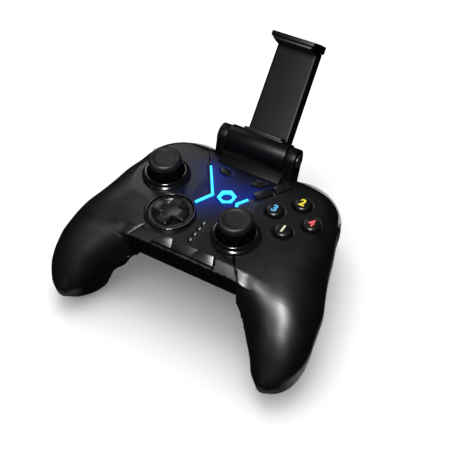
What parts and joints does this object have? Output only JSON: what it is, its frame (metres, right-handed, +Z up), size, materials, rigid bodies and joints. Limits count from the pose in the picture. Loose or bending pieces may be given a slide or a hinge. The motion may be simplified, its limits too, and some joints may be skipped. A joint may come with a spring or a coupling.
{
  "type": "mobile game controller with phone holder",
  "caption": "Gamepad with two grips, tilting sticks, a direction pad, buttons, bumpers and triggers, and a folding sprung holder for a phone.",
  "frame": {"origin": "centre of the bounding box in plan, on the plane that the controller stands on", "axes": "+X to the player's right, +Y away from the player, +Z up, with the controller standing on its grip tips and belly"},
  "size_m": [0.1646, 0.1814, 0.0975],
  "materials": {
    "shell_black": "satin",
    "panel_black": "satin",
    "gloss_black": "gloss",
    "shoulder_grey": "gloss",
    "light_cyan": "lit",
    "lamp_white": "lit",
    "stick_rubber": "matte",
    "stem_plastic": "gloss",
    "pad_rubber": "ribbed",
    "steel": "brushed",
    "board_green": "satin",
    "battery_wrap": "satin",
    "mat_rubber": "matte"
  },
  "bodies": {
    "shell": {"rear_shell": "shell_black", "left_panel": "panel_black", "right_panel": "panel_black", "centre_panel": "gloss_black", "light_strips": "light_cyan", "centre_light": "light_cyan", "indicator_lamps": "lamp_white", "direction_ring": "gloss_black", "direction_base": "shell_black", "left_stick_collar": "gloss_black", "right_stick_collar": "gloss_black", "left_stick_module": "steel", "right_stick_module": "steel", "button_mat": "mat_rubber", "key_switches": "stem_plastic", "main_board": "board_green", "front_board": "board_green", "battery": "battery_wrap", "trigger_pins": "steel", "trigger_springs": "steel", "motors": "steel", "case_screws": "steel", "charging_socket": "steel", "holder_foot": "panel_black", "hinge_pin": "steel"},
    "left_seat": {"left_stick_seat": "stem_plastic"},
    "left_outer_yoke": {"left_outer_yoke": "stem_plastic"},
    "left_stick": {"left_stick_cap": "stick_rubber", "left_stick_stem": "stem_plastic"},
    "left_inner_yoke": {"left_inner_yoke": "stem_plastic"},
    "right_seat": {"right_stick_seat": "stem_plastic"},
    "right_outer_yoke": {"right_outer_yoke": "stem_plastic"},
    "right_stick": {"right_stick_cap": "stick_rubber", "right_stick_stem": "stem_plastic"},
    "right_inner_yoke": {"right_inner_yoke": "stem_plastic"},
    "direction_pivot": {"direction_pivot": "stem_plastic"},
    "direction_pad": {"direction_pad": "gloss_black"},
    "button_near": {"button_near": "gloss_black"},
    "button_far": {"button_far": "gloss_black"},
    "button_inner": {"button_inner": "gloss_black"},
    "button_outer": {"button_outer": "gloss_black"},
    "upper_key_left": {"upper_key_left": "gloss_black"},
    "upper_key_right": {"upper_key_right": "gloss_black"},
    "strip_key_inner": {"strip_key_inner": "gloss_black"},
    "strip_key_outer": {"strip_key_outer": "gloss_black"},
    "front_key_left": {"front_key_left": "gloss_black"},
    "front_key_middle": {"front_key_middle": "gloss_black"},
    "front_key_right": {"front_key_right": "gloss_black"},
    "right_bumper": {"right_bumper": "shoulder_grey"},
    "right_trigger": {"right_trigger": "gloss_black"},
    "right_motor_weight": {"right_motor_weight": "steel"},
    "left_bumper": {"left_bumper": "shoulder_grey"},
    "left_trigger": {"left_trigger": "gloss_black"},
    "left_motor_weight": {"left_motor_weight": "steel"},
    "holder": {"holder_back": "panel_black", "ledge_pad": "pad_rubber", "holder_springs": "steel"},
    "jaw": {"holder_jaw": "panel_black", "jaw_pad": "pad_rubber"}
  },
  "joints": [
    {"name": "left_stick_press", "type": "slide", "parent": "shell", "child": "left_seat", "axis": [0, -0.1288, -0.9917], "range_m": [0, 0.0005], "stiffness_N_per_m": 2000},
    {"name": "left_stick_fore_aft", "type": "hinge", "parent": "left_seat", "child": "left_outer_yoke", "pos_m": [-0.04, -0.01081, 0.03346], "axis": [1, 0, 0], "range_deg": [-15, 15], "stiffness_Nm_per_rad": 0.06},
    {"name": "left_stick_sideways", "type": "hinge", "parent": "left_outer_yoke", "child": "left_stick", "pos_m": [-0.04, -0.01081, 0.03346], "axis": [0, 0.9917, -0.1288], "range_deg": [-15, 15], "stiffness_Nm_per_rad": 0.06},
    {"name": "left_inner_yoke_tilt", "type": "hinge", "parent": "left_seat", "child": "left_inner_yoke", "pos_m": [-0.04, -0.01081, 0.03346], "axis": [0, 0.9917, -0.1288], "range_deg": [-15, 15]},
    {"name": "right_stick_press", "type": "slide", "parent": "shell", "child": "right_seat", "axis": [0, -0.1288, -0.9917], "range_m": [0, 0.0005], "stiffness_N_per_m": 2000},
    {"name": "right_stick_fore_aft", "type": "hinge", "parent": "right_seat", "child": "right_outer_yoke", "pos_m": [0.0201, -0.03292, 0.03633], "axis": [1, 0, 0], "range_deg": [-15, 15], "stiffness_Nm_per_rad": 0.06},
    {"name": "right_stick_sideways", "type": "hinge", "parent": "right_outer_yoke", "child": "right_stick", "pos_m": [0.0201, -0.03292, 0.03633], "axis": [0, 0.9917, -0.1288], "range_deg": [-15, 15], "stiffness_Nm_per_rad": 0.06},
    {"name": "right_inner_yoke_tilt", "type": "hinge", "parent": "right_seat", "child": "right_inner_yoke", "pos_m": [0.0201, -0.03292, 0.03633], "axis": [0, 0.9917, -0.1288], "range_deg": [-15, 15]},
    {"name": "direction_fore_aft", "type": "hinge", "parent": "shell", "child": "direction_pivot", "pos_m": [-0.02075, -0.0342, 0.04557], "axis": [1, 0, 0], "range_deg": [-4, 4], "stiffness_Nm_per_rad": 0.15},
    {"name": "direction_sideways", "type": "hinge", "parent": "direction_pivot", "child": "direction_pad", "pos_m": [-0.02075, -0.0342, 0.04557], "axis": [0, 0.9917, -0.1288], "range_deg": [-4, 4], "stiffness_Nm_per_rad": 0.15},
    {"name": "button_near_press", "type": "slide", "parent": "shell", "child": "button_near", "axis": [0, -0.1288, -0.9917], "range_m": [0, 0.0014], "stiffness_N_per_m": 600, "deforming": ["button_mat"]},
    {"name": "button_far_press", "type": "slide", "parent": "shell", "child": "button_far", "axis": [0, -0.1288, -0.9917], "range_m": [0, 0.0014], "stiffness_N_per_m": 600, "deforming": ["button_mat"]},
    {"name": "button_inner_press", "type": "slide", "parent": "shell", "child": "button_inner", "axis": [0, -0.1288, -0.9917], "range_m": [0, 0.0014], "stiffness_N_per_m": 600, "deforming": ["button_mat"]},
    {"name": "button_outer_press", "type": "slide", "parent": "shell", "child": "button_outer", "axis": [0, -0.1288, -0.9917], "range_m": [0, 0.0014], "stiffness_N_per_m": 600, "deforming": ["button_mat"]},
    {"name": "upper_key_left_press", "type": "slide", "parent": "shell", "child": "upper_key_left", "axis": [0, -0.1288, -0.9917], "range_m": [0, 0.0008], "stiffness_N_per_m": 1200},
    {"name": "upper_key_right_press", "type": "slide", "parent": "shell", "child": "upper_key_right", "axis": [0, -0.1288, -0.9917], "range_m": [0, 0.0008], "stiffness_N_per_m": 1200},
    {"name": "strip_key_inner_press", "type": "slide", "parent": "shell", "child": "strip_key_inner", "axis": [0, -0.1288, -0.9917], "range_m": [0, 0.0008], "stiffness_N_per_m": 1200},
    {"name": "strip_key_outer_press", "type": "slide", "parent": "shell", "child": "strip_key_outer", "axis": [0, -0.1288, -0.9917], "range_m": [0, 0.0008], "stiffness_N_per_m": 1200},
    {"name": "front_key_left_press", "type": "slide", "parent": "shell", "child": "front_key_left", "axis": [0, -0.1288, -0.9917], "range_m": [0, 0.0008], "stiffness_N_per_m": 1200},
    {"name": "front_key_middle_press", "type": "slide", "parent": "shell", "child": "front_key_middle", "axis": [0, -0.1288, -0.9917], "range_m": [0, 0.0008], "stiffness_N_per_m": 1200},
    {"name": "front_key_right_press", "type": "slide", "parent": "shell", "child": "front_key_right", "axis": [0, -0.1288, -0.9917], "range_m": [0, 0.0008], "stiffness_N_per_m": 1200},
    {"name": "right_bumper_press", "type": "hinge", "parent": "shell", "child": "right_bumper", "pos_m": [0.0288, 0.0226, 0.03215], "axis": [0, 0.1288, 0.9917], "range_deg": [-2.2, 0], "stiffness_Nm_per_rad": 0.9, "springref_deg": 1.15},
    {"name": "right_trigger_pull", "type": "hinge", "parent": "shell", "child": "right_trigger", "pos_m": [0.044, 0.01244, 0.02379], "axis": [1, 0, 0], "range_deg": [-15, 0], "stiffness_Nm_per_rad": 0.08, "springref_deg": 8.59},
    {"name": "right_motor_turn", "type": "hinge", "parent": "shell", "child": "right_motor_weight", "pos_m": [0.058, -0.05992, 0.02572], "axis": [1, 0, 0], "continuous": true},
    {"name": "left_bumper_press", "type": "hinge", "parent": "shell", "child": "left_bumper", "pos_m": [-0.0288, 0.0226, 0.03215], "axis": [0, 0.1288, 0.9917], "range_deg": [0, 2.2], "stiffness_Nm_per_rad": 0.9, "springref_deg": -1.15},
    {"name": "left_trigger_pull", "type": "hinge", "parent": "shell", "child": "left_trigger", "pos_m": [-0.044, 0.01244, 0.02379], "axis": [1, 0, 0], "range_deg": [-15, 0], "stiffness_Nm_per_rad": 0.08, "springref_deg": 8.59},
    {"name": "left_motor_turn", "type": "hinge", "parent": "shell", "child": "left_motor_weight", "pos_m": [-0.058, -0.05992, 0.02572], "axis": [1, 0, 0], "continuous": true},
    {"name": "holder_fold", "type": "hinge", "parent": "shell", "child": "holder", "pos_m": [0, 0.03093, 0.04972], "axis": [1, 0, 0], "range_deg": [-20, 119]},
    {"name": "jaw_slide", "type": "slide", "parent": "holder", "child": "jaw", "axis": [0, 0.7478, 0.6639], "range_m": [0, 0.03], "stiffness_N_per_m": 80, "springref_m": -0.03, "deforming": ["holder_springs"]}
  ],
  "couplings": [
    {"joint": "left_inner_yoke_tilt", "follows": "left_stick_sideways", "ratio": 1},
    {"joint": "right_inner_yoke_tilt", "follows": "right_stick_sideways", "ratio": 1}
  ]
}
